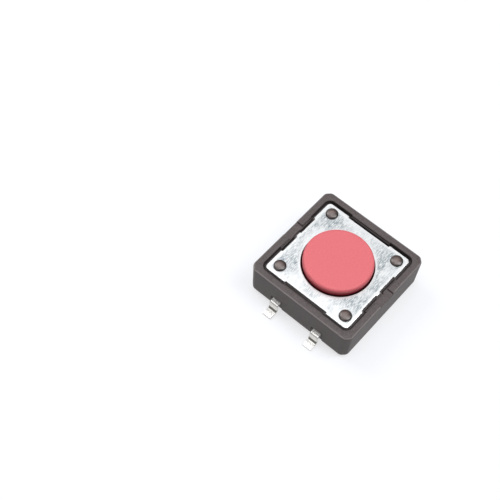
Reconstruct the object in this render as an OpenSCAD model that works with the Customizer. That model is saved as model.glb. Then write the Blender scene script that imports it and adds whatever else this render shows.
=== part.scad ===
// Tactile push button switch, 12 mm square, for surface mounting.
// A moulded housing holds two metal contact frames, moulded into its floor, a snap dome
// that lies on them, a round push button and a steel cover plate. Four posts of the
// housing pass through the plate, and their ends are melted into heads that hold it down.
// The origin is in the middle of the plane that the four lead feet stand on.
// +Z is up, and the leads come out on the +X and -X sides.

/* [Housing] */
// Width of the square housing, below the rounded edge of its rim
housing_w = 12; // [11.4:0.1:14]
// Height of the housing, from its underside to the rim
housing_h = 3.6; // [3.3:0.05:5]
// Gap between the board and the underside of the housing
standoff = 0.35; // [0.15:0.05:0.8]
// Leg of the 45 degree chamfer on the upright corners
corner_chamfer = 0.5; // [0.3:0.05:1]
// Radius of the housing's outer edges
housing_edge_r = 0.15; // [0.05:0.01:0.2]
// How far each wall leans in between the rim and the underside
wall_draft = 0.06; // [0.02:0.01:0.2]
// Width of the rim around the cover plate
rim_w = 0.8; // [0.5:0.05:1]
// How far the rim's side ledges and tie notches lie below the top of the rim
ledge_drop = 0.2; // [0.12:0.01:0.3]
// Width of the pocket in the wall that a lead comes out of
pocket_w = 1.35; // [1.2:0.05:2]
// Depth of that pocket
pocket_d = 0.18; // [0.05:0.01:0.4]
// Height of the pocket above the lead
pocket_headroom = 0.28; // [0.1:0.01:0.5]
// Diameter of the holes that the mould's support pins leave in the underside
pin_hole_d = 1; // [0.4:0.1:1.4]
// Distance from the wall to the middle of such a hole
pin_hole_inset = 2; // [1.2:0.1:3]

/* [Cover plate] */
// Thickness of the sheet
plate_t = 0.3; // [0.2:0.05:0.4]
// Gap between the plate and the rim
plate_gap = 0.2; // [0.05:0.01:0.3]
// Radius of the plate's corners
plate_corner_r = 0.4; // [0.1:0.05:0.8]
// How far the plate lies below the top of the rim
plate_sink = 0.1; // [0:0.01:0.2]
// Length of the shallow recess in the middle of each side
recess_l = 5; // [3:0.1:6]
// Depth of that recess
recess_d = 0.165; // [0.08:0.005:0.3]
// Gap between the recess and the housing's ledge in it
ledge_gap = 0.165; // [0.1:0.005:0.2]
// Width of the cut tie bar that stands out of the recess on the Y sides
tie_w = 0.6; // [0.4:0.05:1]
// Length of what is left of the tie bar
tie_l = 0.13; // [0.05:0.01:0.2]
// Width of the notch in the rim that the tie bar came through
tie_notch_w = 2; // [1.4:0.1:3]

/* [Staked posts] */
// Distance from the edge of the plate to the middle of a post
post_inset = 1; // [0.8:0.05:1.2]
// Diameter of the post inside the plate
post_d = 1; // [0.7:0.05:1.1]
// Gap between the post and its hole in the plate
post_gap = 0.05; // [0.02:0.01:0.1]
// Diameter of the melted head
post_head_d = 1.3; // [1.25:0.05:1.6]
// Height of the head above the plate
post_head_h = 0.3; // [0.15:0.01:0.4]

/* [Push button] */
// Least width of the plate between its edge and its hole for the button
plate_land = 1.4; // [1.2:0.05:2]
// How far the button stands above the plate at rest
button_rise = 0.8; // [0.5:0.05:4]
// Radius of the button's top edge
button_edge_r = 0.28; // [0.1:0.01:0.4]
// Gap between the button and its hole in the plate
button_gap = 0.125; // [0.05:0.005:0.2]
// How far the flange under the plate stands out from the button
flange_w = 0.5; // [0.35:0.05:0.6]
// Thickness of the flange
flange_t = 0.68; // [0.4:0.02:0.8]
// Gap between the flange and the plate above it
flange_gap = 0.02; // [0.01:0.01:0.05]
// Gap between the flange and the wall of the housing
flange_side_gap = 0.15; // [0.08:0.01:0.2]
// Thickness of the button's side wall
button_wall = 0.9; // [0.7:0.05:1.2]
// Thickness of the button's top
button_roof = 1; // [0.7:0.05:1.2]
// Diameter of the nub that presses the dome
nub_d = 2.4; // [1.6:0.1:3]
// Width of the two keys that stop the button from turning
key_w = 1; // [0.6:0.1:1.6]
// How far a key stands out from the flange
key_l = 0.3; // [0.2:0.02:0.34]
// Gap between a key and its slot
key_gap = 0.1; // [0.05:0.01:0.15]
// Travel of the button
travel = 0.3; // [0.2:0.01:0.35]
// Gap between the pressed flange and the housing
stop_gap = 0.1; // [0.05:0.01:0.15]

/* [Snap dome] */
// Width of the housing's ledge, between the flange's well and the dome's seat
stop_ledge_w = 0.725; // [0.5:0.025:1.2]
// Height of the dome
dome_crown = 0.5; // [0.45:0.01:0.6]
// Thickness of the dome
dome_t = 0.08; // [0.05:0.01:0.1]
// Gap between the dome and the wall of its seat
dome_gap = 0.1; // [0.05:0.01:0.15]
// Gap between the nub and the relaxed dome
press_gap = 0.02; // [0.01:0.01:0.04]

/* [Contact frames] */
// Thickness of the sheet
metal_t = 0.25; // [0.15:0.01:0.3]
// Width of a lead
lead_w = 0.95; // [0.7:0.05:1.1]
// Distance between the two leads of one side
lead_pitch = 5; // [4.4:0.1:5.8]
// Length of a foot, from the lead's upright face to its end
foot_l = 0.9; // [0.5:0.05:1.5]
// Height of a lead's shoulder above the underside of the housing
shoulder_h = 1; // [0.8:0.05:1.2]
// How far a lead's upright face stands out from the housing
leg_out = 0.45; // [0.4:0.01:0.6]
// Outer radius of the bend at the shoulder
shoulder_bend_r = 0.3; // [0.27:0.01:0.4]
// Inner radius of the bend above the foot
foot_bend_r = 0.17; // [0.05:0.01:0.2]
// Diameter of the raised pads that carry the rim of the dome
rim_pad_d = 0.9; // [0.7:0.05:1.1]
// Height of those pads above the frame
rim_pad_rise = 0.2; // [0.1:0.01:0.25]
// Angle from the X axis up to the two pads on the +Y side
upper_pad_angle = 50; // [40:1:70]
// Angle from the X axis down to the two pads at the ends of the ring
lower_pad_angle = 15; // [5:1:20]
// Diameter of the contact under the middle of the dome
centre_pad_d = 1.2; // [0.8:0.1:1.6]
// Wall thickness of a pressed-up pad
pad_wall = 0.2; // [0.1:0.01:0.25]
// How far the housing's floor lies below the rim of the dome
floor_drop = 0.05; // [0.02:0.01:0.08]

/* [Hidden] */
$fn = 96;
// Segments of the small radii in the housing's outline
edge_fn = 24;
// Angle between the slices that round the housing's edges
slice_step = 30;
// Thickness of such a slice
slice_t = 0.001;
// How far a cut runs past the surface that it opens, and a joined piece into its carrier
past = 0.5;

// Heights above the board, from the bottom up
rim_z = standoff + housing_h;
plate_top = rim_z - plate_sink;
plate_z = plate_top - plate_t;
ledge_z = rim_z - ledge_drop;
frame_top = standoff + shoulder_h;
frame_z = frame_top - metal_t;
dome_z = frame_top + rim_pad_rise;
floor_z = dome_z - floor_drop;
dome_top = dome_z + dome_crown;
nub_z = dome_top + press_gap;
centre_pad_top = dome_top - dome_t - (travel - press_gap);
button_top = plate_top + button_rise;
flange_top = plate_z - flange_gap;
flange_z = flange_top - flange_t;
stop_z = flange_z - travel - stop_gap;

// Widths and radii
rim_inner_w = housing_w - 2 * rim_w;
plate_w = rim_inner_w - 2 * plate_gap;
post_xy = plate_w / 2 - post_inset;
window_r = plate_w / 2 - plate_land;
button_r = window_r - button_gap;
flange_r = button_r + flange_w;
well_r = flange_r + flange_side_gap;
seat_r = well_r - stop_ledge_w;
dome_r = seat_r - dome_gap;
rim_pad_reach = dome_r - pad_wall / 2;

// A square centred on the origin, with round corners
module rounded_square(w, r) {
    square([w, w - 2 * r], center = true);
    square([w - 2 * r, w], center = true);
    for (x = [-1, 1])
        for (y = [-1, 1])
            translate([x * (w / 2 - r), y * (w / 2 - r)])
                circle(r);
}

// Outline of the housing at one height: a square with chamfered corners, softened
module housing_outline(inset) {
    h = housing_w / 2 - inset;
    c = h - corner_chamfer;
    offset(r = housing_edge_r, $fn = edge_fn)
        offset(delta = -housing_edge_r)
            polygon([
                [h, -c], [h, c], [c, h], [-c, h],
                [-h, c], [-h, -c], [-c, -h], [c, -h]
            ]);
}

// The solid block of the housing: thin slices of its outline, hulled, so that the top
// and bottom edges are round and the walls lean in towards the underside
module housing_block() {
    hull()
        for (a = [0 : slice_step : 90]) {
            round_in = housing_edge_r * (1 - cos(a));
            round_z = housing_edge_r * (1 - sin(a));
            translate([0, 0, rim_z - round_z - slice_t])
                linear_extrude(slice_t)
                    housing_outline(round_in);
            translate([0, 0, standoff + round_z])
                linear_extrude(slice_t)
                    housing_outline(wall_draft + round_in);
        }
}

// The open space above the deck that the cover plate lies in
module plate_well() {
    translate([0, 0, plate_z])
        linear_extrude(housing_h)
            rounded_square(rim_inner_w, plate_corner_r + plate_gap);
}

// The ledge of one side that fills the plate's recess, on the +X side
module side_ledge() {
    edge_x = plate_w / 2 - recess_d + ledge_gap;
    length = recess_l - 2 * ledge_gap;
    translate([edge_x, -length / 2, plate_z - past])
        cube([rim_inner_w / 2 + rim_w / 2 - edge_x, length, ledge_z - plate_z + past]);
}

// Room around the end of the tie bar, on the +Y side
module tie_clearance() {
    width = tie_w + 2 * ledge_gap;
    translate([-width / 2, plate_w / 2 - recess_d, plate_z])
        cube([width, rim_inner_w / 2 - plate_w / 2 + recess_d, housing_h]);
}

// The notch through the rim on the +Y side
module tie_notch() {
    translate([-tie_notch_w / 2, rim_inner_w / 2, ledge_z])
        cube([tie_notch_w, rim_w + past, housing_h]);
}

// A post with its melted head, which is a low cap of a sphere
module staked_post() {
    head_r = post_head_d / 2;
    ball_r = (head_r * head_r + post_head_h * post_head_h) / (2 * post_head_h);
    translate([0, 0, plate_z - past])
        cylinder(d = post_d, h = plate_t + past);
    translate([0, 0, plate_top])
        rotate_extrude()
            intersection() {
                translate([0, post_head_h - ball_r])
                    circle(ball_r);
                square([head_r, post_head_h]);
            }
}

// The space inside the housing: a round seat for the dome, a wider well for the
// button's flange above it, and two slots for the flange's keys
module button_well() {
    slot_l = 2 * (flange_r + key_l + key_gap);
    slot_w = key_w + 2 * key_gap;
    translate([0, 0, floor_z])
        cylinder(r = seat_r, h = plate_z - floor_z + past);
    translate([0, 0, stop_z])
        cylinder(r = well_r, h = plate_z - stop_z + past);
    translate([-slot_l / 2, -slot_w / 2, stop_z])
        cube([slot_l, slot_w, plate_z - stop_z + past]);
}

// The pocket that one lead comes out of, on the +X side
module lead_pocket() {
    translate([housing_w / 2 - pocket_d, -pocket_w / 2, standoff - past])
        cube([pocket_d + past, pocket_w, past + shoulder_h + pocket_headroom]);
}

// A hole that a support pin of the mould leaves, up to the contact frame
module pin_hole() {
    translate([0, 0, standoff - past])
        cylinder(d = pin_hole_d, h = frame_z - standoff + past);
}

// Repeats a shape of the +X side on the -X side
module both_ends() {
    children();
    mirror([1, 0, 0])
        children();
}

module base_housing() {
    color([0.40, 0.37, 0.36])
        difference() {
            union() {
                difference() {
                    housing_block();
                    plate_well();
                }
                for (side = [0 : 3])
                    rotate(90 * side)
                        side_ledge();
                for (x = [-1, 1])
                    for (y = [-1, 1])
                        translate([x * post_xy, y * post_xy])
                            staked_post();
            }
            button_well();
            for (side = [0, 1])
                rotate(180 * side) {
                    tie_clearance();
                    tie_notch();
                }
            both_ends()
                for (y = [-1, 1])
                    translate([0, y * lead_pitch / 2]) {
                        lead_pocket();
                        translate([housing_w / 2 - pin_hole_inset, 0])
                            pin_hole();
                    }
            common_frame_metal();
            centre_frame_metal();
        }
}

// A quarter of a ring in the plane of a bend, from the first to the second quadrant edge
module bend_quarter(r_out) {
    intersection() {
        difference() {
            circle(r_out);
            circle(r_out - metal_t);
        }
        square(r_out);
    }
}

// Side view of a lead on the +X side, from the housing's wall to the end of its foot
module lead_profile() {
    leg_face = housing_w / 2 + leg_out;
    heel_r = foot_bend_r + metal_t;
    upper_x = leg_face - shoulder_bend_r;
    upper_z = frame_top - shoulder_bend_r;
    lower_x = leg_face + foot_bend_r;
    translate([upper_x - leg_out - past, frame_z])
        square([leg_out + past, metal_t]);
    translate([upper_x, upper_z])
        bend_quarter(shoulder_bend_r);
    translate([leg_face - metal_t, heel_r])
        square([metal_t, upper_z - heel_r]);
    translate([lower_x, heel_r])
        rotate(180)
            bend_quarter(heel_r);
    translate([lower_x, 0])
        square([leg_face + foot_l - lower_x, metal_t]);
}

// The strip of a contact frame that runs across the housing, with its two leads
module lead_strip() {
    strip_l = housing_w;
    translate([-strip_l / 2, -lead_w / 2, frame_z])
        cube([strip_l, lead_w, metal_t]);
    both_ends()
        translate([0, lead_w / 2])
            rotate([90, 0, 0])
                linear_extrude(lead_w)
                    lead_profile();
}

// A round pad pressed up out of the sheet, and the dimple that this leaves below it
module pad(d, rise) {
    translate([0, 0, frame_top - metal_t / 2])
        cylinder(d = d, h = rise + metal_t / 2);
}

module pad_dimple(d, rise) {
    translate([0, 0, frame_z - past])
        cylinder(d = d - 2 * pad_wall, h = rise + past);
}

// A flat ring under the rim of the dome, open towards -Y, with round ends
module rim_ring() {
    far = housing_w;
    end_x = rim_pad_reach * cos(lower_pad_angle);
    end_y = -rim_pad_reach * sin(lower_pad_angle);
    difference() {
        circle(rim_pad_reach + lead_w / 2);
        circle(rim_pad_reach - lead_w / 2);
        polygon([[0, 0], far * [end_x, end_y], [0, -far * far], far * [-end_x, end_y]]);
    }
    for (x = [-1, 1])
        translate([x * end_x, end_y])
            circle(lead_w / 2);
}

// Frame on the +Y side. A ring that grows out of its strip lies under the rim of the
// dome, and four pads on the ring carry it.
module common_frame_metal() {
    pad_angles = [
        upper_pad_angle, 180 - upper_pad_angle,
        180 + lower_pad_angle, -lower_pad_angle
    ];
    difference() {
        union() {
            translate([0, lead_pitch / 2])
                lead_strip();
            translate([0, 0, frame_z])
                linear_extrude(metal_t)
                    rim_ring();
            for (a = pad_angles)
                rotate(a)
                    translate([rim_pad_reach, 0])
                        pad(rim_pad_d, rim_pad_rise);
        }
        for (a = pad_angles)
            rotate(a)
                translate([rim_pad_reach, 0])
                    pad_dimple(rim_pad_d, rim_pad_rise);
    }
}

// Frame on the -Y side. A tongue reaches from its strip to the middle contact.
module centre_frame_metal() {
    rise = centre_pad_top - frame_top;
    difference() {
        union() {
            translate([0, -lead_pitch / 2])
                lead_strip();
            translate([-lead_w / 2, -lead_pitch / 2, frame_z])
                cube([lead_w, lead_pitch / 2, metal_t]);
            translate([0, 0, frame_z])
                cylinder(d = centre_pad_d + lead_w / 2, h = metal_t);
            pad(centre_pad_d, rise);
        }
        pad_dimple(centre_pad_d, rise);
    }
}

module contact_frame_common() {
    color([0.86, 0.85, 0.81])
        common_frame_metal();
}

module contact_frame_centre() {
    color([0.86, 0.85, 0.81])
        centre_frame_metal();
}

// A thin cap of a sphere, open below, that rests on its rim
module snap_dome() {
    ball_r = (dome_r * dome_r + dome_crown * dome_crown) / (2 * dome_crown);
    color([0.78, 0.77, 0.74])
        translate([0, 0, dome_z])
            rotate_extrude()
                intersection() {
                    translate([0, dome_crown - ball_r])
                        difference() {
                            circle(ball_r, $fn = 720);
                            circle(ball_r - dome_t, $fn = 720);
                        }
                    square([dome_r, dome_crown]);
                }
}

// Half section of the button, from its axis outwards
module button_section() {
    difference() {
        union() {
            translate([0, flange_z])
                square([button_r - button_edge_r, button_top - flange_z]);
            translate([0, flange_z])
                square([button_r, button_top - button_edge_r - flange_z]);
            translate([button_r - button_edge_r, button_top - button_edge_r])
                circle(button_edge_r);
            translate([0, flange_z])
                square([flange_r, flange_t]);
            translate([0, nub_z])
                square([nub_d / 2, button_top - button_roof - nub_z]);
        }
        translate([nub_d / 2, flange_z - past])
            square([button_r - button_wall - nub_d / 2, button_top - button_roof - flange_z + past]);
    }
}

module push_button() {
    color([0.80, 0.27, 0.31]) {
        rotate_extrude()
            button_section();
        both_ends()
            translate([button_r, -key_w / 2, flange_z])
                cube([flange_r + key_l - button_r, key_w, flange_t]);
    }
}

// Outline of the cover plate, with the recesses of its sides and the cut tie bars
module plate_outline() {
    difference() {
        rounded_square(plate_w, plate_corner_r);
        for (side = [0 : 3])
            rotate(90 * side)
                translate([plate_w / 2 - recess_d, -recess_l / 2])
                    square([recess_d + past, recess_l]);
    }
    for (side = [0, 1])
        rotate(180 * side)
            translate([-tie_w / 2, plate_w / 2 - recess_d - past])
                square([tie_w, tie_l + past]);
}

module cover_plate() {
    color([0.84, 0.86, 0.88])
        translate([0, 0, plate_z])
            linear_extrude(plate_t)
                difference() {
                    plate_outline();
                    circle(window_r);
                    for (x = [-1, 1])
                        for (y = [-1, 1])
                            translate([x * post_xy, y * post_xy])
                                circle(post_d / 2 + post_gap);
                }
}

base_housing();
contact_frame_common();
contact_frame_centre();
snap_dome();
push_button();
cover_plate();
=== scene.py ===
import math

import bmesh
import bpy
import numpy as np
from mathutils import Matrix, Vector
from mathutils.geometry import delaunay_2d_cdt


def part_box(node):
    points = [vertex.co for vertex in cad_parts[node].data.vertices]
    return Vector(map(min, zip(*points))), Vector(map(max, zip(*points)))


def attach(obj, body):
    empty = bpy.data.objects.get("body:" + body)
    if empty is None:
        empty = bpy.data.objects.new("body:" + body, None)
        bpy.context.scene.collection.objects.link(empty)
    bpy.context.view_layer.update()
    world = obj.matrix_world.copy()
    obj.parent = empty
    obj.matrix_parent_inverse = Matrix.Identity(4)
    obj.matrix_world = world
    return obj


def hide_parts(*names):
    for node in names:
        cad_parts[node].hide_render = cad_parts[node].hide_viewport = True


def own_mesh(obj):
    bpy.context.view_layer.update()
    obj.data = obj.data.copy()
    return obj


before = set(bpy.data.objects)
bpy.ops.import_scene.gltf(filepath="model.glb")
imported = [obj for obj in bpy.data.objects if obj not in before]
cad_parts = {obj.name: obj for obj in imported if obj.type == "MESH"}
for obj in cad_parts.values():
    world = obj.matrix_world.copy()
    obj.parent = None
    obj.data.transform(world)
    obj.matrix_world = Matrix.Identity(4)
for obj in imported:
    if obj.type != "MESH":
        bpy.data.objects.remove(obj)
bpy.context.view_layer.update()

# Contact frames: two strips of silver-plated brass sheet, blanked flat and folded down at
# both ends into the leads. The common one grows a ring with four pads under the dome's rim,
# the centre one a tongue with the middle contact. The housing is moulded round both.
mm = 0.001
metal_t = 0.25
lead_w = 0.95
foot_l = 0.9
shoulder_bend_r = 0.3
foot_bend_r = 0.17
bend_steps = 10
metal_edge_r = 0.035
blank_end = 4.9
rim_pad_d = 0.9
rim_pad_rise = 0.2
rim_pad_angles = [50, 130, 195, 345]
ring_end_angle = 15
ring_steps = 24
centre_pad_d = 1.2
pad_wall = 0.2
pad_edge_r = 0.06
pad_edge_steps = 4
tongue_fillet_r = 0.2


def box_mm(node):
    """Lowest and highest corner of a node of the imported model, in millimetres."""
    return np.array([list(corner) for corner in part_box(node)]) / mm


def arc(centre, radius, first, last, steps):
    """Arc: the centre plus the radius times the cosine and sine of even angles, in degrees."""
    angle = np.radians(np.linspace(first, last, steps + 1))
    return np.asarray(centre) + radius * np.stack([np.cos(angle), np.sin(angle)], axis=-1)


def outline(*parts):
    """Parts of an outline joined end to end, without a point that repeats the one before."""
    line = np.concatenate([np.reshape(part, (-1, 2)) for part in parts]).astype(float)
    step = np.linalg.norm(line - np.roll(line, 1, axis=0), axis=1)
    return line[step > 1e-6]


def mitres(line, closed=True):
    """For each point of an outline, the vector that takes it one unit off both its sides:
    the sum of the sides' outward unit normals over one plus their dot product."""
    ahead = np.roll(line, -1, axis=0) - line
    if not closed:
        ahead[-1] = ahead[-2]
    normal = np.stack([ahead[:, 1], -ahead[:, 0]], axis=-1)
    normal /= np.linalg.norm(normal, axis=1, keepdims=True)
    before = np.roll(normal, 1, axis=0)
    if not closed:
        before[0] = normal[0]
    return (normal + before) / (1 + np.sum(normal * before, axis=1, keepdims=True))


def sheet_edge(bottom, top, radius, steps=4):
    """Side view of a sheet's edge as inset and height: a strip of the lower face, a quarter
    round, the cut side, a quarter round, and a strip of the upper face."""
    strip = 1.8 * radius
    low = arc([radius, bottom + radius], radius, 270, 180, steps)
    high = arc([radius, top - radius], radius, 180, 90, steps)
    return np.concatenate([[[strip, bottom]], low, high, [[strip, top]]])


def strip_faces(points, closed=True):
    """Quads between neighbouring points of a grid (rows, columns, 3). A closed grid also
    joins its last column to its first."""
    rows, columns = points.shape[:2]
    here = np.arange(columns if closed else columns - 1)
    start = np.arange(rows - 1)[:, None] * columns
    a, b = start + here, start + (here + 1) % columns
    quads = np.stack([a, b, b + columns, a + columns], axis=-1)
    return points.reshape(-1, 3), quads.reshape(-1, 4).tolist()


def edge_band(line, edge, closed=True):
    """Surface of an edge carried along an outline: a row is the outline moved in along its
    mitres by the edge's inset, at the edge's height."""
    flat = line - edge[:, 0, None, None] * mitres(line, closed)
    height = np.broadcast_to(edge[:, 1, None, None], flat.shape[:2] + (1,))
    return strip_faces(np.concatenate([flat, height], axis=-1), closed)


def turned(section, centre=(0, 0), steps=48):
    """Surface of revolution: each radius and height of the section goes round the centre,
    which is one point or one for each row, as an array (rows, 1, 2)."""
    angle = np.arange(steps) * 2 * np.pi / steps
    ring = np.stack([np.cos(angle), np.sin(angle)], axis=-1)
    flat = np.asarray(centre) + section[:, 0, None, None] * ring
    height = np.broadcast_to(section[:, 1, None, None], flat.shape[:2] + (1,))
    return strip_faces(np.concatenate([flat, height], axis=-1))


def circle(centre, radius, steps=48):
    """Points of a circle at the angles that turned() uses."""
    return arc(centre, radius, 0, 360, steps)[:-1]


def flat_face(height, *loops):
    """Flat face at one height, inside the first loop and outside the others: the Delaunay
    triangles between their points that belong to the first loop alone. The sign of a loop's
    area, the sum of x times the next y minus y times the next x, tells which way it runs."""
    area = [np.sum(loop * np.roll(loop, -1, axis=0)[:, ::-1] * [1, -1]) for loop in loops]
    loops = [loop if part > 0 else loop[::-1] for loop, part in zip(loops, area)]
    counts = np.cumsum([0] + [len(loop) for loop in loops])
    rings = [list(range(a, b)) for a, b in zip(counts[:-1], counts[1:])]
    corners = [Vector(point) for point in np.concatenate(loops).tolist()]
    only_inside, closest = 1, 1e-7
    made, _, triangles, _, _, owners = delaunay_2d_cdt(corners, [], rings, only_inside, closest, True)
    inside = [list(tri) for tri, owner in zip(triangles, owners) if list(owner) == [0]]
    return np.array([[*point, height] for point in made]), inside


def mesh_piece(name, patches, material, finish, body, *nodes):
    """One mesh of surface patches in millimetres: points that meet are merged, faces turn
    outwards, edges over 35 degrees stay sharp, and flats keep their normals next to rounds."""
    merge_within = 0.0005 * mm
    first = np.cumsum([0] + [len(points) for points, _ in patches])
    points = np.concatenate([points for points, _ in patches]) * mm
    faces = [[int(start) + i for i in face] for start, (_, part) in zip(first, patches) for face in part]
    mesh = bpy.data.meshes.new(name)
    mesh.from_pydata(points.tolist(), [], faces)
    bm = bmesh.new()
    bm.from_mesh(mesh)
    bmesh.ops.remove_doubles(bm, verts=bm.verts, dist=merge_within)
    bmesh.ops.recalc_face_normals(bm, faces=bm.faces)
    bm.to_mesh(mesh)
    bm.free()
    mesh.shade_smooth()
    mesh.set_sharp_from_angle(angle=math.radians(35))
    piece = bpy.data.objects.new(name, mesh)
    bpy.context.scene.collection.objects.link(piece)
    weighted = piece.modifiers.new("flat_normals", "WEIGHTED_NORMAL")
    weighted.keep_sharp = True
    mesh.materials.append(material)
    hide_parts(*nodes)
    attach(piece, body)
    return piece


def new_finish(name):
    """Node material with only its shader and its output: returns it, its tree, the shader
    and the object coordinates that its patterns follow."""
    material = bpy.data.materials.new(name)
    material.use_nodes = True
    tree = material.node_tree
    shader = tree.nodes["Principled BSDF"]
    place = tree.nodes.new("ShaderNodeTexCoord")
    return material, tree, shader, place.outputs["Object"]


def add_node(tree, kind, inputs, **settings):
    """New node with its settings. An input given as a socket is linked, any other is set."""
    made = tree.nodes.new("ShaderNode" + kind)
    for key, value in settings.items():
        setattr(made, key, value)
    for key, value in inputs.items():
        if isinstance(value, bpy.types.NodeSocket):
            tree.links.new(value, made.inputs[key])
        else:
            made.inputs[key].default_value = value
    return made


def calculate(tree, operation, first, second):
    """Result of one operation on two numbers, each given as a value or as a socket."""
    return add_node(tree, "Math", {0: first, 1: second}, operation=operation).outputs["Value"]


def calculate_vector(tree, operation, *vectors):
    """Result of one operation on vectors: a number for a length, a distance and a dot
    product, and a vector for any other."""
    made = add_node(tree, "VectorMath", dict(enumerate(vectors)), operation=operation)
    gives_number = operation in ("LENGTH", "DISTANCE", "DOT_PRODUCT")
    return made.outputs["Value" if gives_number else "Vector"]


def coordinates(tree, vector):
    """The X, Y and Z of a vector."""
    return tuple(add_node(tree, "SeparateXYZ", {0: vector}).outputs)


def side_view(tree, across, up):
    """Point of a section: how far across and how high."""
    return add_node(tree, "CombineXYZ", {0: across, 1: up}).outputs["Vector"]


def off_point(tree, section, across, up):
    """Distance of a section's point from one given in millimetres."""
    return calculate_vector(tree, "DISTANCE", section, (across * mm, up * mm, 0))


def pattern(tree, place, size, stretch=(1, 1, 1), detail=3.0, roughness=0.55):
    """Noise with features about size millimetres wide, longer along an axis by its stretch."""
    scale = [1 / (size * mm * s) for s in stretch]
    mapped = add_node(tree, "Mapping", {"Vector": place, "Scale": scale})
    noise = add_node(tree, "TexNoise", {"Vector": mapped.outputs["Vector"], "Scale": 1.0,
                                       "Detail": detail, "Roughness": roughness})
    return noise.outputs["Fac"]


def spread(tree, value, low, high, first=0.3, last=0.7):
    """A pattern's values from first to last mapped onto low to high, and held beyond them."""
    ranged = add_node(tree, "MapRange", {"Value": value, "From Min": first, "From Max": last,
                                         "To Min": low, "To Max": high})
    return ranged.outputs["Result"]


def ramp(tree, length, low, high, start, end):
    """Value by a length: low up to start millimetres, high from end on, and even between."""
    return spread(tree, length, low, high, start * mm, end * mm)


def blend(tree, factor, first, second):
    """Colour between two colours, each given as red, green and blue or as a socket."""
    sides = [side if isinstance(side, bpy.types.NodeSocket) else (*side, 1) for side in (first, second)]
    return add_node(tree, "Mix", {0: factor, 6: sides[0], 7: sides[1]}, data_type="RGBA").outputs[2]


def between(tree, factor, first, second):
    """Number between two numbers, each given as a value or as a socket."""
    return add_node(tree, "Mix", {0: factor, 2: first, 3: second}, data_type="FLOAT").outputs[0]


def relief(tree, height, depth, under=None):
    """Bump whose full height is depth millimetres."""
    inputs = {"Height": height, "Distance": depth * mm, "Strength": 1.0}
    if under:
        inputs["Normal"] = under
    return add_node(tree, "Bump", inputs).outputs["Normal"]


_, common_high = box_mm("contact_frame_common")
centre_low, centre_high = box_mm("contact_frame_centre")
foot_end = common_high[0]
leg_face = foot_end - foot_l
frame_top = common_high[2] - rim_pad_rise
frame_z = frame_top - metal_t
half_lead = lead_w / 2
ring_reach = common_high[1] - half_lead
lead_y = -(centre_low[1] + half_lead)
metal_edge = sheet_edge(frame_z, frame_top, metal_edge_r)

silver_dull = (0.88, 0.87, 0.85)
silver_bright = (0.97, 0.96, 0.94)
painted_shoulder_shade = (0.50, 0.49, 0.46)
heel_shade = (0.22, 0.22, 0.20)
bend_start = leg_face - shoulder_bend_r
bend_in = shoulder_bend_r * (1 - 0.5 ** 0.5)

plating, tree, shader, place = new_finish("silver_plating")
haze = pattern(tree, place, 0.35)
grain = pattern(tree, place, 0.03, stretch=(12, 1, 1), detail=2.0)
silver = blend(tree, spread(tree, haze, 0, 1), silver_dull, silver_bright)
across, _, up = coordinates(tree, calculate_vector(tree, "ABSOLUTE", place))
section = side_view(tree, across, up)
# Painted shade: a grey line along the shoulder's bend and a dark band in the heel's hollow.
off_shoulder = off_point(tree, section, leg_face - bend_in, frame_top - bend_in)
silver = blend(tree, ramp(tree, off_shoulder, 1, 0, 0.01, 0.07), silver, painted_shoulder_shade)
off_heel = off_point(tree, section, leg_face, metal_t + foot_bend_r)
silver = blend(tree, ramp(tree, off_heel, 1, 0, 0.13, 0.22), silver, heel_shade)
tree.links.new(silver, shader.inputs["Base Color"])
bare_metal = ramp(tree, across, 0, 0.9, bend_start - 0.08, bend_start + 0.02)
tree.links.new(bare_metal, shader.inputs["Metallic"])
tree.links.new(spread(tree, haze, 0.26, 0.36), shader.inputs["Roughness"])
tree.links.new(relief(tree, grain, 0.0003, relief(tree, haze, 0.0006)), shader.inputs["Normal"])


def lead(side, y):
    """One lead as the cross-section of the strip carried along the middle line of its side
    view: shoulder arc, upright, heel arc and foot, with the last points drawn in at the cut end."""
    shoulder = arc([0, 0], 1, 90, 0, bend_steps)
    heel = arc([0, 0], 1, 180, 270, bend_steps)
    upper = [bend_start, frame_top - shoulder_bend_r]
    lower = [leg_face + foot_bend_r, foot_bend_r + metal_t]
    cut = np.radians([0, 30, 60, 90])
    cut_x = foot_end - metal_edge_r * (1 - np.sin(cut))
    middle = np.concatenate([
        [[blank_end, frame_top - metal_t / 2]],
        upper + (shoulder_bend_r - metal_t / 2) * shoulder,
        lower + (foot_bend_r + metal_t / 2) * heel,
        np.stack([cut_x, np.full(len(cut), metal_t / 2)], axis=-1)])
    normal = np.concatenate([[[0, 1]], shoulder, -heel, np.full((len(cut), 2), [0, 1])])
    drawn_in = np.zeros(len(middle))
    drawn_in[-len(cut):] = metal_edge_r * (1 - np.cos(cut))
    inset, height = sheet_edge(0, metal_t, metal_edge_r).T
    wide = np.concatenate([half_lead - inset, inset[::-1] - half_lead])
    thick = np.concatenate([height, height[::-1]]) - metal_t / 2
    shrink_w = 1 - drawn_in[:, None] / half_lead
    shrink_t = 1 - drawn_in[:, None] / (metal_t / 2)
    x = middle[:, 0, None] + normal[:, 0, None] * thick * shrink_t
    z = middle[:, 1, None] + normal[:, 1, None] * thick * shrink_t
    points = np.stack([side * x, y + wide * shrink_w, z], axis=-1)
    return [strip_faces(points), (points[-1], [list(range(len(thick)))])]


def pad_section(radius, top, foot_z):
    """Half of a pad's or dimple's section: its wall, a quarter round and its flat top."""
    edge = [radius - pad_edge_r, top - pad_edge_r]
    return outline([radius, foot_z], arc(edge, pad_edge_r, 0, 90, pad_edge_steps), [0, top])


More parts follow.
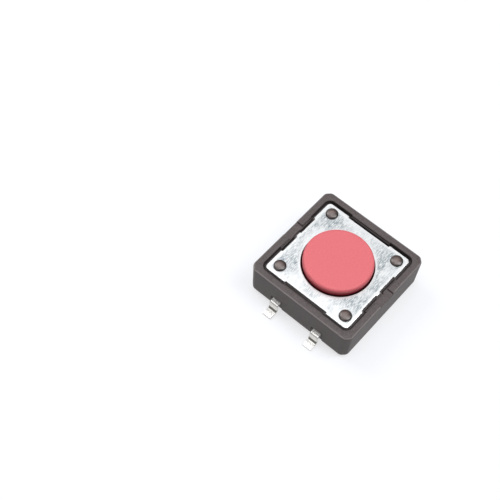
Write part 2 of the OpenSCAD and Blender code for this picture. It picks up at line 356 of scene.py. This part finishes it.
def blank(y, front, back, pads):
    """Flat middle of a contact frame: both of its long edges as bands, the faces between
    them, and each pad turned up out of the upper face over its dimple in the lower one."""
    bands = [edge_band(line, metal_edge, closed=False) for line in (front, back)]
    columns = [len(front), len(back)]
    rows = [band[0].reshape(-1, count, 3)[:, :, :2] for band, count in zip(bands, columns)]
    tops = np.concatenate([row[-1] for row in rows])
    bottoms = np.concatenate([row[0] for row in rows])
    upper, lower, turns = [tops], [bottoms], []
    for centre, diameter, top in pads:
        radius, hollow = diameter / 2, diameter / 2 - pad_wall
        dimple_z = frame_z + top - frame_top
        turns += [turned(pad_section(radius, top, frame_top), centre),
                  turned(pad_section(hollow, dimple_z, frame_z), centre)]
        upper.append(circle(centre, radius))
        lower.append(circle(centre, hollow))
    leads = [part for side in (-1, 1) for part in lead(side, y)]
    return bands + turns + leads + [flat_face(frame_top, *upper), flat_face(frame_z, *lower)]


def crossing(radius, y):
    """Angle at which a circle round the origin meets a line of constant y, in degrees."""
    return math.degrees(math.asin(y / radius))


ring_out, ring_in = ring_reach + half_lead, ring_reach - half_lead
near, far = lead_y - half_lead, lead_y + half_lead
turn_out, turn_in, turn_far = crossing(ring_out, near), crossing(ring_in, near), crossing(ring_out, far)
left_end = arc([0, 0], ring_reach, 180 + ring_end_angle, 0, 1)[0]
right_end = left_end * [-1, 1]
common_front = outline(
    [-blank_end, near],
    arc([0, 0], ring_out, 180 - turn_out, 180 + ring_end_angle, ring_steps),
    arc(left_end, half_lead, 180 + ring_end_angle, 360 + ring_end_angle, ring_steps),
    arc([0, 0], ring_in, 180 + ring_end_angle, 180 - turn_in, ring_steps),
    arc([0, 0], ring_in, turn_in, -ring_end_angle, ring_steps),
    arc(right_end, half_lead, 180 - ring_end_angle, 360 - ring_end_angle, ring_steps),
    arc([0, 0], ring_out, -ring_end_angle, turn_out, ring_steps),
    [blank_end, near])
common_back = outline(
    [blank_end, far], arc([0, 0], ring_out, turn_far, 180 - turn_far, ring_steps), [-blank_end, far])
rim_pads = [arc([0, 0], ring_reach, angle, 0, 1)[0] for angle in rim_pad_angles]
common_pads = [(centre, rim_pad_d, common_high[2]) for centre in rim_pads]
mesh_piece("common_contact_frame", blank(lead_y, common_front, common_back, common_pads),
           plating, "plated_contact", "switch_body", "contact_frame_common")

disc_r = centre_high[1]
disc_turn = math.degrees(math.asin(half_lead / disc_r))
fillet_x, fillet_y = half_lead + tongue_fillet_r, tongue_fillet_r - near
centre_front = outline([-blank_end, -far], [blank_end, -far])
centre_back = outline(
    [blank_end, -near],
    arc([fillet_x, fillet_y], tongue_fillet_r, 270, 180, 8),
    arc([0, 0], disc_r, disc_turn - 90, 270 - disc_turn, 2 * ring_steps),
    arc([-fillet_x, fillet_y], tongue_fillet_r, 0, -90, 8),
    [-blank_end, -near])
centre_pads = [((0, 0), centre_pad_d, centre_high[2])]
mesh_piece("centre_contact_frame", blank(-lead_y, centre_front, centre_back, centre_pads),
           plating, "plated_contact", "switch_body", "contact_frame_centre")

# Base housing: one moulding of dark, heat-resistant plastic with a finely eroded surface.
# Its walls lean in towards the underside, and its rim stands round the cover plate. The four
# posts pass through the plate, and their ends are melted down into heads that hold it.
wall_draft = 0.06
edge_r = 0.15
corner_chamfer = 0.5
corner_r = 0.55
corner_steps = 5
rim_w = 0.8
rim_corner_r = 0.6
rim_edge_r = 0.05
plate_sink = 0.1
ledge_drop = 0.2
ledge_half = 2.335
ledge_w = 0.2
ledge_edge_r = 0.03
tie_room_half = 0.465
notch_half = 1.0
notch_edge_r = 0.04
pocket_half = 0.675
pocket_d = 0.18
pocket_top = 1.63
corner_soft = 0.06
pin_hole_r = 0.5
pin_hole_inset = 2
pin_hole_sink = 0.02
well_r = 4.125
slot_reach = 4.375
slot_half = 0.6
stop_z = 2.45
seat_r = 3.4
seat_steps = 96
floor_z = 1.5
post_r = 0.5
post_xy = 4.0
head_r = 0.63
head_foot_r = 0.58
head_gap = 0.005
undercut_in = 0.012
undercut_h = 0.03
brim_h = 0.07
head_lean = [0.05, -0.04]

housing_low, housing_high = box_mm("base_housing")
plate_low, plate_high = box_mm("cover_plate")
head_top = housing_high[2]
half_w = housing_high[0]
base_z = housing_low[2]
plate_z = plate_high[2]
rim_z = plate_z + plate_sink
ledge_z = rim_z - ledge_drop
deck_z = plate_low[2]
pocket_low, pocket_high = lead_y - pocket_half, lead_y + pocket_half


def step_up(position, edge, width=corner_soft):
    """Smooth step from 0 to 1 over a width round an edge: 3 u squared minus 2 u cubed."""
    u = np.clip((position - edge) / width + 0.5, 0, 1)
    return u * u * (3 - 2 * u)


def chamfered_corner(h):
    """Outer line of the corner at +X +Y: two 45 degree arcs with the chamfer between them."""
    tangent = corner_r * math.tan(math.radians(45 / 2))
    first = arc([h - corner_r, h - corner_chamfer - tangent], corner_r, 0, 45, corner_steps)
    return np.concatenate([first, first[::-1, ::-1]])


def housing_sections(notch, ledge, pocket):
    """Inset and height of the shell for every column, from the underside up over the rim
    and down to the deck: four sections with equal points, mixed by the column's weights."""
    under_strip, deck_strip = 0.6, 0.32
    wall_rows = (2.2, 3.0, ledge_z - 0.12)
    row_gap = 0.02
    pocket_rows = (0.9, pocket_top - 0.05, pocket_top - row_gap)
    fillet = ((0, 0.03), (0.01, 0.01), (0.03, 0))
    wall_low, wall_high = base_z + edge_r, rim_z - edge_r
    fine_turn, coarse_turn = np.radians(np.arange(0, 91, 15)), np.radians(np.arange(0, 91, 30))
    ones = np.ones_like(notch)

    def mix(plain, with_ledge, in_notch, notch_ledge):
        """The four sections' values weighted by how far a column is in the notch and ledge."""
        return ((1 - notch) * ((1 - ledge) * plain + ledge * with_ledge)
                + notch * ((1 - ledge) * in_notch + ledge * notch_ledge))

    def lean(z):
        """Inset of the leaning wall at a height."""
        return wall_draft * (wall_high - z) / (wall_high - wall_low)

    rows = [(under_strip * ones, base_z * ones)]
    foot_in, foot_rise = wall_draft + edge_r * (1 - np.sin(fine_turn)), edge_r * (1 - np.cos(fine_turn))
    for inset, rise in zip(foot_in, foot_rise):
        rows.append((inset + pocket * np.maximum(pocket_d - inset, 0), (base_z + rise) * ones))
    for z in pocket_rows:
        rows.append((lean(z) + pocket * (pocket_d - lean(z)), z * ones))
    at_top = lean(pocket_top)
    rows.append((at_top + pocket * (pocket_d - row_gap - at_top), pocket_top * ones))
    rows.append((at_top + pocket * row_gap, pocket_top * ones))
    for z in (pocket_top + row_gap, *wall_rows):
        rows.append((lean(z) * ones, z * ones))
    for back, drop in zip(1 - np.cos(fine_turn), 1 - np.sin(fine_turn)):
        rim_in, rim_h = edge_r * back, rim_z - edge_r * drop
        cut_in, cut_h = notch_edge_r * back, ledge_z - notch_edge_r * drop
        rows.append((mix(rim_in, rim_in, cut_in, cut_in), mix(rim_h, rim_h, cut_h, cut_h)))
    rows.append((0.5 * rim_w * ones, mix(rim_z, rim_z, ledge_z, ledge_z)))
    for k, (back, drop) in enumerate(zip(1 - np.sin(coarse_turn), 1 - np.cos(coarse_turn))):
        rim_in, rim_h = rim_w - rim_edge_r * back, rim_z - rim_edge_r * drop
        cut_in, cut_h = rim_w - ledge_edge_r * back, ledge_z - ledge_edge_r * drop
        flat_in = rim_w - rim_edge_r + k * row_gap
        rows.append((mix(rim_in, rim_in, cut_in, flat_in), mix(rim_h, rim_h, cut_h, ledge_z)))
    for k, (out, rise) in enumerate(fillet):
        down = k * row_gap / 2
        rows.append((mix(rim_w, rim_w + out, rim_w, rim_w + row_gap + down),
                     mix(ledge_z - down, ledge_z + rise, ledge_z - 2 * row_gap - down, ledge_z)))
    for k, (back, drop) in enumerate(zip(1 - np.sin(coarse_turn), 1 - np.cos(coarse_turn))):
        edge_in, edge_h = rim_w + ledge_w - ledge_edge_r * back, ledge_z - ledge_edge_r * drop
        wall_h, cut_h = ledge_z - (3 + k) * row_gap, ledge_z - (4 + k) * row_gap
        rows.append((mix(rim_w, edge_in, rim_w, edge_in), mix(wall_h, edge_h, cut_h, edge_h)))
    rows.append((mix(rim_w, rim_w + ledge_w, rim_w, rim_w + ledge_w), deck_z * ones))
    rows.append(((rim_w + deck_strip) * ones, deck_z * ones))
    return np.array([row[0] for row in rows]), np.array([row[1] for row in rows])


def housing_shell():
    """Outside of the housing as a grid. Along a side the section lies at its own inset; round
    a corner the outer line moves in diagonally and turns into the rim's round inner corner."""
    first_column, last_column = 0.2, 3.9
    turn_inset, turn_width = 0.45, 0.6
    soft = np.linspace(-corner_soft / 2, corner_soft / 2, 7)
    edges = [tie_room_half, notch_half, pocket_low, ledge_half, pocket_high]
    half = np.concatenate([[first_column], *[edge + soft for edge in edges], [last_column]])
    t = np.concatenate([-half[::-1], half])
    corner = chamfered_corner(half_w)
    plain = np.zeros(len(corner))
    ray = arc([0, 0], 1, 0, 90, len(corner) - 1)
    grids = []
    for side in range(4):
        on_y = side % 2
        notch = on_y * (1 - step_up(np.abs(t), notch_half))
        room = on_y * (1 - step_up(np.abs(t), tie_room_half))
        ledge = (1 - step_up(np.abs(t), ledge_half)) * (1 - room)
        pocket = (1 - on_y) * step_up(np.abs(t), pocket_low) * (1 - step_up(np.abs(t), pocket_high))
        inset, height = housing_sections(notch, ledge, pocket)
        along = np.broadcast_to(t, inset.shape)
        side_grid = np.stack([half_w - inset, along, height], axis=-1)
        inset, height = housing_sections(plain, plain, plain)
        out = corner - inset[:, :, None]
        within = half_w - rim_w - rim_corner_r + (rim_corner_r + rim_w - inset)[:, :, None] * ray
        weight = step_up(inset, turn_inset, turn_width)[:, :, None]
        weight[0] = 0
        flat = (1 - weight) * out + weight * within
        corner_grid = np.concatenate([flat, height[:, :, None]], axis=-1)
        quarter_shell = np.concatenate([side_grid, corner_grid], axis=1)
        c, s = math.cos(math.radians(90 * side)), math.sin(math.radians(90 * side))
        grids.append(quarter_shell @ np.array([[c, s, 0], [-s, c, 0], [0, 0, 1]]))
    return np.concatenate(grids, axis=1)


def well_outline():
    """Space for the button's flange seen from above: a circle with a slot on either side."""
    turn = math.degrees(math.asin(slot_half / well_r))
    back = arc([0, 0], well_r, turn, 180 - turn, 48)
    left_slot = np.array([[-slot_reach, slot_half], [-slot_reach, -slot_half]])
    return outline(back, left_slot, -back, -left_slot)


def upright_wall(loop, *heights):
    """Wall of a hole: the loop repeated at each height."""
    return strip_faces(np.stack([np.column_stack([loop, np.full(len(loop), z)]) for z in heights]))


shell = housing_shell()
underside, deck = shell[0, :, :2], shell[-1, :, :2]
well = well_outline()
seat = circle((0, 0), seat_r, seat_steps)
pin_hole_x, pin_hole_top = half_w - pin_hole_inset, frame_z + pin_hole_sink
pin_holes = [(x * pin_hole_x, y * lead_y) for x in (-1, 1) for y in (-1, 1)]
pin_hole = np.array([[pin_hole_r, base_z], [pin_hole_r, pin_hole_top], [0, pin_hole_top]])
posts = [(x * post_xy, y * post_xy) for x in (-1, 1) for y in (-1, 1)]
brim_z = plate_z + brim_h
head_underside = [[head_foot_r, plate_z + head_gap], [head_r - undercut_in, plate_z + undercut_h]]
head_dome = [0, brim_z] + [head_r, head_top - brim_z] * arc([0, 0], 1, 0, 90, 14)
post = outline([post_r, deck_z], [post_r, plate_z], head_underside, head_dome)
head_shift = np.where(post[:, 1:] > plate_z, head_lean, 0)[:, None]
housing = [
    strip_faces(shell),
    flat_face(base_z, underside, *[circle(c, pin_hole_r) for c in pin_holes]),
    flat_face(deck_z, deck, well, *[circle(c, post_r) for c in posts]),
    flat_face(stop_z, well, seat),
    flat_face(floor_z, seat),
    upright_wall(well, deck_z, stop_z),
    upright_wall(seat, stop_z, floor_z),
    *[turned(pin_hole, c) for c in pin_holes],
    *[turned(post, c + head_shift) for c in posts],
]

plastic_dark = (0.046, 0.037, 0.037)
plastic_light = (0.122, 0.097, 0.097)
plastic_cloud = (0.112, 0.090, 0.089)
painted_edge_highlight = (0.270, 0.240, 0.238)
shaded_ledge = (0.034, 0.026, 0.025)
painted_crease_shade = (0.015, 0.012, 0.012)
melted_dark = (0.125, 0.088, 0.078)
melted_light = (0.205, 0.148, 0.132)
painted_brim_shade = (0.022, 0.016, 0.014)
highlight_in = 0.3 * edge_r
rim_inner = half_w - rim_w
bay_half = rim_inner - rim_corner_r
chamfer_mid = (half_w - corner_chamfer / 2) * 2 ** 0.5
crease_fade = (0.08, 0.15)

moulding, tree, shader, place = new_finish("moulded_plastic")
speckle = pattern(tree, place, 0.14, detail=3.0, roughness=0.6)
cloud = pattern(tree, place, 1.4, detail=2.0)
erosion = pattern(tree, place, 0.045, detail=2.0)
ground = blend(tree, spread(tree, speckle, 0, 1), plastic_dark, plastic_light)
ground = blend(tree, spread(tree, cloud, 0, 0.25), ground, plastic_cloud)

# A highlight is painted along the rim's outer edge. How far out a point lies is the most of its X, its
# Y, and its distance along the diagonal less what the chamfers lie further out than the walls.
quarter = calculate_vector(tree, "ABSOLUTE", place)
quarter_x, quarter_y, up = coordinates(tree, quarter)
on_diagonal = calculate_vector(tree, "DOT_PRODUCT", quarter, (0.5 ** 0.5, 0.5 ** 0.5, 0))
past_chamfer = calculate(tree, "SUBTRACT", on_diagonal, (chamfer_mid - half_w) * mm)
off_axis = calculate(tree, "MAXIMUM", calculate(tree, "MAXIMUM", quarter_x, quarter_y), past_chamfer)
off_highlight = off_point(tree, side_view(tree, off_axis, up), half_w - highlight_in, rim_z - highlight_in)
ground = blend(tree, ramp(tree, off_highlight, 0.75, 0, 0.03, 0.11), ground, painted_edge_highlight)

# The ledge on the +X side lies in the rim's shade.
within_rim = ramp(tree, off_axis, 1, 0, rim_inner, rim_inner + 0.05)
sunk = ramp(tree, up, 1, 0, ledge_z + 0.03, ledge_z + 0.14)
signed_x, _, _ = coordinates(tree, place)
to_right = ramp(tree, calculate(tree, "SUBTRACT", signed_x, quarter_y), 0.15, 1, -0.5, 0.5)
shaded = calculate(tree, "MULTIPLY", calculate(tree, "MULTIPLY", within_rim, sunk), to_right)
ground = blend(tree, shaded, ground, shaded_ledge)

# Painted shade makes the inner edges of the rim and of the ledges nearly black, where they meet the gap
# round the plate, and takes away their sheen. Both run at even distances from the square on which the
# rim's corners are centred.
off_square = calculate_vector(tree, "SUBTRACT", quarter, (bay_half * mm, bay_half * mm, 0))
off_square = calculate_vector(tree, "MAXIMUM", off_square, (0, 0, 0))
off_square = calculate_vector(tree, "MULTIPLY", off_square, (1, 1, 0))
section = side_view(tree, calculate_vector(tree, "LENGTH", off_square), up)
along_side = calculate(tree, "MINIMUM", quarter_x, quarter_y)
past_ledge = ramp(tree, along_side, 0.3, 1, ledge_half - 0.05, ledge_half + 0.05)
rim_crease_shade = ramp(tree, off_point(tree, section, rim_corner_r, rim_z), 1, 0, *crease_fade)
rim_crease_shade = calculate(tree, "MULTIPLY", rim_crease_shade, past_ledge)
off_ledge = off_point(tree, section, rim_corner_r - ledge_w, ledge_z)
ledge_crease_shade = ramp(tree, off_ledge, 1, 0, *crease_fade)
crease_shade = calculate(tree, "MAXIMUM", rim_crease_shade, ledge_crease_shade)
ground = blend(tree, crease_shade, ground, painted_crease_shade)

# The melted heads are browner and smoother. Painted shade darkens them from the middle out to their
# brim.
off_head = calculate_vector(tree, "DISTANCE", quarter, (post_xy * mm, post_xy * mm, plate_z * mm))
melted = ramp(tree, off_head, 1, 0, 0.75, 0.85)
brown_and_brim_shade = blend(tree, spread(tree, speckle, 0, 1), melted_dark, melted_light)
brown_and_brim_shade = blend(tree, ramp(tree, off_head, 0, 1, 0.31, 0.62), brown_and_brim_shade, painted_brim_shade)
tree.links.new(blend(tree, melted, ground, brown_and_brim_shade), shader.inputs["Base Color"])
sheen = between(tree, crease_shade, spread(tree, melted, 0.5, 0.9, 0, 1), 0.08)
tree.links.new(sheen, shader.inputs["Specular IOR Level"])
coarse = spread(tree, speckle, 0.40, 0.54)
tree.links.new(between(tree, melted, coarse, 0.32), shader.inputs["Roughness"])
tree.links.new(relief(tree, erosion, 0.0035, relief(tree, speckle, 0.006)), shader.inputs["Normal"])
mesh_piece("base_housing_moulding", housing, moulding, "housing_plastic", "switch_body", "base_housing")

# Snap dome: a thin cap of stainless spring steel that lies loose on the common frame's pads.
# The button pushes its middle down onto the centre contact, and it springs back.
dome_t = 0.08
dome_steps = 20
dome_low, dome_high = box_mm("snap_dome")
dome_r, dome_z, dome_top = dome_high[0], dome_low[2], dome_high[2]
ball_r = (dome_r ** 2 + (dome_top - dome_z) ** 2) / (2 * (dome_top - dome_z))
ball_z = dome_top - ball_r
outer_turn = math.degrees(math.acos(dome_r / ball_r))
inner_turn = math.degrees(math.asin((dome_z - ball_z) / (ball_r - dome_t)))
dome_section = outline(
    arc([0, ball_z], ball_r - dome_t, 90, inner_turn, dome_steps),
    arc([0, ball_z], ball_r, outer_turn, 90, dome_steps))

spring_dull = (0.62, 0.61, 0.58)
spring_bright = (0.76, 0.75, 0.72)

spring, tree, shader, place = new_finish("spring_steel")
rolled = pattern(tree, place, 0.04, stretch=(30, 1, 1), detail=3.0)
shader.inputs["Metallic"].default_value = 1.0
tree.links.new(blend(tree, spread(tree, rolled, 0, 1), spring_dull, spring_bright),
               shader.inputs["Base Color"])
tree.links.new(spread(tree, rolled, 0.2, 0.34), shader.inputs["Roughness"])
tree.links.new(relief(tree, rolled, 0.0015), shader.inputs["Normal"])
dome = mesh_piece("spring_dome", [turned(dome_section, steps=96)], spring, "spring_steel",
                  "switch_body", "snap_dome")
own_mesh(dome)

# Push button: one red moulding with a flat, finely matt top and a softly rounded edge.
# Its flange is caught under the cover plate, two keys on it stop it from turning, and the
# nub in its hollow underside stands over the dome.
button_edge_r = 0.28
button_r = 3.475
flange_r = 3.975
flange_t = 0.68
flange_gap = 0.02
button_wall = 0.9
button_roof = 1.0
nub_r = 1.2
key_half = 0.5
small_r = 0.05

button_low, button_high = box_mm("push_button")
button_top, nub_z, key_reach = button_high[2], button_low[2], button_high[0]
flange_top = deck_z - flange_gap
flange_z = flange_top - flange_t
hollow_r, roof_z = button_r - button_wall, button_top - button_roof


def button_surface():
    """The button's section carried round its axis. In the rows of the flange the radius is
    the flange's own, and over each key the distance to the key's flat end at that angle."""
    column_step, key_columns = 2.5, [0, 180, 3, -3, 177, 183]
    side_strip, top_strip = 0.05, 0.1
    side_turn = math.degrees(math.asin(key_half / flange_r))
    end_turn = math.degrees(math.atan(key_half / key_reach))
    keys = [k + s * a for k in (0, 180) for s in (-1, 1) for a in (side_turn, end_turn)]
    free = [a for a in np.arange(0, 360, column_step) if abs((a + 90) % 180 - 90) > side_turn + 0.5]
    angle = np.radians(np.sort(np.concatenate([keys, free, key_columns]) % 360))
    off = np.abs((np.degrees(angle) + 90) % 180 - 90)
    reach = np.where(off <= end_turn + 1e-6, key_reach / np.abs(np.cos(angle)), flange_r)
    body = outline(
        [0, nub_z], arc([nub_r - small_r, nub_z + small_r], small_r, 270, 360, 4),
        [nub_r, roof_z], [hollow_r, roof_z],
        [hollow_r, flange_z])
    low_edge = small_r * np.array([[-1, 0], [-0.3, 0.3], [0, 1]])
    high_edge = [0, flange_t] + small_r * np.array([[0, -1], [-0.3, -0.3], [-1, 0]])
    flange = np.concatenate([low_edge, high_edge])
    edge_centre = [button_r - button_edge_r, button_top - button_edge_r]
    head = outline(
        [button_r, flange_top], [button_r, plate_z], [button_r, edge_centre[1] - side_strip],
        arc(edge_centre, button_edge_r, 0, 90, 12),
        [edge_centre[0] - top_strip, button_top], [0, button_top])
    ones = np.ones_like(angle)
    radius = np.concatenate([body[:, :1] * ones, reach + flange[:, :1], head[:, :1] * ones])
    height = np.concatenate([body[:, 1:] * ones, (flange_z + flange[:, 1:]) * ones, head[:, 1:] * ones])
    return strip_faces(np.stack([radius * np.cos(angle), radius * np.sin(angle), height], axis=-1))


red_deep = (0.70, 0.135, 0.157)
red_pale = (0.77, 0.165, 0.187)
painted_side_shade = (0.25, 0.017, 0.023)
painted_foot_shade = (0.045, 0.008, 0.010)

red, tree, shader, place = new_finish("red_plastic")
mottle = pattern(tree, place, 0.16, detail=3.0, roughness=0.6)
fine = pattern(tree, place, 0.05, detail=2.0)
_, _, up = coordinates(tree, place)
colour = blend(tree, spread(tree, mottle, 0, 1), red_deep, red_pale)
# Painted shade: the side darkens towards the plate, is nearly black at its foot, and loses its sheen.
side_shade = ramp(tree, up, 1, 0, plate_z + 0.08, plate_z + 0.64)
colour = blend(tree, side_shade, colour, painted_side_shade)
colour = blend(tree, ramp(tree, up, 1, 0, plate_z + 0.02, plate_z + 0.09), colour, painted_foot_shade)
tree.links.new(colour, shader.inputs["Base Color"])
tree.links.new(spread(tree, side_shade, 0.5, 0.06, 0, 0.6), shader.inputs["Specular IOR Level"])
tree.links.new(spread(tree, mottle, 0.42, 0.58), shader.inputs["Roughness"])
tree.links.new(relief(tree, fine, 0.002, relief(tree, mottle, 0.004)), shader.inputs["Normal"])
mesh_piece("red_push_button", [button_surface()], red, "button_plastic", "button", "push_button")

# Cover plate: a square of stainless steel, brushed along X and then blanked out of its strip
# with the button's window and four holes. It lies on the housing's deck, and the recesses in
# its sides clear the ledges. On the Y sides the cut ends of its tie bars stand out.
plate_corner_r = 0.4
plate_edge_r = 0.04
cut_corner_r = 0.06
recess_half = 2.5
recess_d = 0.165
tie_half = 0.3
tie_l = 0.13
window_r = 3.6
hole_r = 0.55


def rounded_polygon(corners, steps=6):
    """Closed outline of a polygon with round corners, given as x, y and radius. An arc's
    centre lies the mitre of its two sides times the radius inside a corner that turns left,
    and as far outside one that turns right, and its normal swings evenly between the sides'."""
    place_xy, radius = corners[:, :2], corners[:, 2, None]
    ahead = np.roll(place_xy, -1, axis=0) - place_xy
    bearing = np.arctan2(-ahead[:, 0], ahead[:, 1])
    before = np.roll(bearing, 1)
    swing = (bearing - before + np.pi) % (2 * np.pi) - np.pi
    centre = place_xy - np.sign(swing)[:, None] * radius * mitres(place_xy)
    angle = before[:, None] + swing[:, None] * np.linspace(0, 1, steps + 1)
    ray = np.stack([np.cos(angle), np.sin(angle)], axis=-1)
    return outline(centre[:, None] + (np.sign(swing)[:, None] * radius)[:, None] * ray)


plate_half = plate_high[0]
recess = plate_half - recess_d
tie_end = recess + tie_l
tie_corner_r = cut_corner_r / 2
x_side = [[plate_half, -recess_half, cut_corner_r], [recess, -recess_half, cut_corner_r],
          [recess, recess_half, cut_corner_r], [plate_half, recess_half, cut_corner_r],
          [plate_half, plate_half, plate_corner_r]]
y_side = [[recess_half, plate_half, cut_corner_r], [recess_half, recess, cut_corner_r],
          [tie_half, recess, tie_corner_r], [tie_half, tie_end, tie_corner_r],
          [-tie_half, tie_end, tie_corner_r], [-tie_half, recess, tie_corner_r],
          [-recess_half, recess, cut_corner_r], [-recess_half, plate_half, cut_corner_r],
          [-plate_half, plate_half, plate_corner_r]]
half_outline = np.array(x_side + y_side)
plate_line = rounded_polygon(np.concatenate([half_outline, half_outline * [-1, -1, 1]]))
plate_edge = sheet_edge(deck_z, plate_z, plate_edge_r)
holes = [circle((0, 0), window_r, steps=144)[::-1]] + [circle(c, hole_r)[::-1] for c in posts]
bands = [edge_band(line, plate_edge) for line in [plate_line] + holes]
rings = [points.reshape(len(plate_edge), -1, 3)[:, :, :2] for points, _ in bands]
plate = bands + [flat_face(plate_z, *[ring[-1] for ring in rings]),
                 flat_face(deck_z, *[ring[0] for ring in rings])]

steel_dull = (0.80, 0.82, 0.83)
steel_bright = (0.90, 0.91, 0.92)
brushing_and_painted_dark = (0.27, 0.32, 0.35)
bloom_shift = (21.4 * mm, 16.2 * mm, 0)

brushed, tree, shader, place = new_finish("brushed_steel")
streak = pattern(tree, place, 0.06, stretch=(7, 1, 1), detail=3.0, roughness=0.65)
scratch = pattern(tree, place, 0.05, stretch=(14, 1, 1), detail=2.0)
moved = calculate_vector(tree, "ADD", place, bloom_shift)
bloom = pattern(tree, moved, 1.7, stretch=(1.3, 1, 1), detail=3.0, roughness=0.6)
lines = spread(tree, streak, 0.1, 1, 0.40, 0.57)
brushing_and_painted_light = calculate(tree, "MULTIPLY", lines, spread(tree, bloom, 0.16, 1, 0.37, 0.57))

# Painted light: the brushing's dark streaks are left out beside the window and the plate's edge, as a
# painted highlight, and grow stronger towards the Y sides and weaker towards the X sides, as a painted
# reflection.
flat = calculate_vector(tree, "MULTIPLY", place, (1, 1, 0))
off_window = ramp(tree, calculate_vector(tree, "LENGTH", flat), 0, 1, window_r + 0.1, window_r + 0.32)
quarter = calculate_vector(tree, "ABSOLUTE", flat)
quarter_x, quarter_y, _ = coordinates(tree, quarter)
off_middle = calculate(tree, "MAXIMUM", quarter_x, quarter_y)
off_rim = ramp(tree, off_middle, 1, 0, recess - 0.35, recess - 0.1)
painted_light_share = calculate(tree, "MULTIPLY", off_window, off_rim)
to_y_side = calculate_vector(tree, "DOT_PRODUCT", quarter, (-0.5, 1, 0))
painted_light_share = calculate(tree, "MULTIPLY", painted_light_share, ramp(tree, to_y_side, 0.6, 1.35, -2.5, 4.5))
brushing_and_painted_light = calculate(tree, "MULTIPLY", brushing_and_painted_light, painted_light_share)
steel = blend(tree, spread(tree, scratch, 0, 1), steel_dull, steel_bright)
tree.links.new(blend(tree, brushing_and_painted_light, steel, brushing_and_painted_dark), shader.inputs["Base Color"])
shader.inputs["Metallic"].default_value = 1.0
tree.links.new(spread(tree, streak, 0.32, 0.44), shader.inputs["Roughness"])
tree.links.new(relief(tree, scratch, 0.002, relief(tree, streak, 0.004)), shader.inputs["Normal"])
mesh_piece("steel_cover_plate", plate, brushed, "cover_steel", "switch_body", "cover_plate")

# Camera: where the photograph was taken from, high over the front corner, with a slight roll.
camera_at = Vector((-46.4906, -24.1541, 90.9513)) * mm
camera_right = Vector((0.654830, -0.754533, 0.043329))
camera_up = Vector((0.633209, 0.579029, 0.513587))
camera_back = Vector((-0.412606, -0.308877, 0.856943))
lens = bpy.data.cameras.new("camera")
lens.sensor_width = 36
lens.lens = 75.92
lens.clip_start = 0.002
lens.clip_end = 10
camera = bpy.data.objects.new("camera", lens)
bpy.context.scene.collection.objects.link(camera)
camera.matrix_world = Matrix.Translation(camera_at) @ Matrix(
    (camera_right, camera_up, camera_back)).transposed().to_4x4()
bpy.context.scene.camera = camera

# Floor: a plain white sheet that the switch stands on. To the camera it is a bright white with
# the switch's shadow on it, and it throws less light back at the switch than paper would.
floor_half = 1500
floor_dim = (0.34, 0.345, 0.355)
floor_pale = (0.84, 0.87, 0.95)
white_strength = 1.08
white_share = 0.6


def background_rays(tree):
    """1 for rays that show the background: those of the camera, of gloss and of glass."""
    path = add_node(tree, "LightPath", {})
    seen = calculate(tree, "ADD", path.outputs["Is Camera Ray"], path.outputs["Is Glossy Ray"])
    seen = add_node(tree, "Math", {0: seen, 1: path.outputs["Is Transmission Ray"]},
                    operation="ADD", use_clamp=True)
    return seen.outputs["Value"]


floor_corners = np.array([[-1, -1, 0], [1, -1, 0], [1, 1, 0], [-1, 1, 0]]) * floor_half
floor_mesh = bpy.data.meshes.new("floor")
floor_mesh.from_pydata((floor_corners * mm).tolist(), [], [[0, 1, 2, 3]])
floor = bpy.data.objects.new("floor", floor_mesh)
bpy.context.scene.collection.objects.link(floor)
paper, tree, shader, _ = new_finish("paper")
camera_ray = add_node(tree, "LightPath", {}).outputs["Is Camera Ray"]
tree.links.new(blend(tree, camera_ray, floor_dim, floor_pale), shader.inputs["Base Color"])
shader.inputs["Roughness"].default_value = 0.9
white = add_node(tree, "Emission", {"Strength": white_strength})
share = spread(tree, background_rays(tree), 0, white_share, 0, 1)
both = add_node(tree, "MixShader", {0: share, 1: shader.outputs["BSDF"], 2: white.outputs["Emission"]})
tree.links.new(both.outputs["Shader"], tree.nodes["Material Output"].inputs["Surface"])
floor_mesh.materials.append(paper)

# Light: five soft lamps, one overhead and four round the switch. The surrounding is white to
# the camera and to glass. To gloss it is white only below the horizon, and it adds little light.
lamp_distance = 0.5
sky_white = (0.97, 0.98, 1.0, 1)
sky_light = 0.04
sky_in_gloss = 0.06

world = bpy.data.worlds.new("surrounding")
bpy.context.scene.world = world
world.use_nodes = True
tree = world.node_tree
backdrop = tree.nodes["Background"]
backdrop.inputs["Color"].default_value = sky_white
direction = add_node(tree, "TexCoord", {}).outputs["Generated"]
_, _, up = coordinates(tree, direction)
path = add_node(tree, "LightPath", {})
in_gloss = spread(tree, up, 1.0, sky_in_gloss, 0.0, 0.12)
shown = between(tree, path.outputs["Is Glossy Ray"], 1.0, in_gloss)
level = between(tree, background_rays(tree), sky_light, shown)
tree.links.new(level, backdrop.inputs["Strength"])


def soft_lamp(name, azimuth, elevation, power, width=0.26):
    """Square lamp that faces the switch from an azimuth, 0 in front and 90 on the +X side."""
    a, e = math.radians(azimuth), math.radians(elevation)
    away = Vector((math.sin(a) * math.cos(e), -math.cos(a) * math.cos(e), math.sin(e)))
    light = bpy.data.lights.new(name, "AREA")
    light.size = width
    light.energy = power
    lamp = bpy.data.objects.new(name, light)
    lamp.location = away * lamp_distance
    lamp.rotation_mode = "QUATERNION"
    lamp.rotation_quaternion = away.to_track_quat("Z", "Y")
    bpy.context.scene.collection.objects.link(lamp)


soft_lamp("top_lamp", azimuth=0, elevation=90, power=0.60)
soft_lamp("back_lamp", azimuth=127, elevation=60, power=0.26)
soft_lamp("right_lamp", azimuth=30, elevation=58, power=1.24)
soft_lamp("far_lamp", azimuth=180, elevation=45, power=0.96)
soft_lamp("left_lamp", azimuth=-105, elevation=45, power=0.62, width=0.5)

bpy.context.scene.view_settings.view_transform = "Standard"
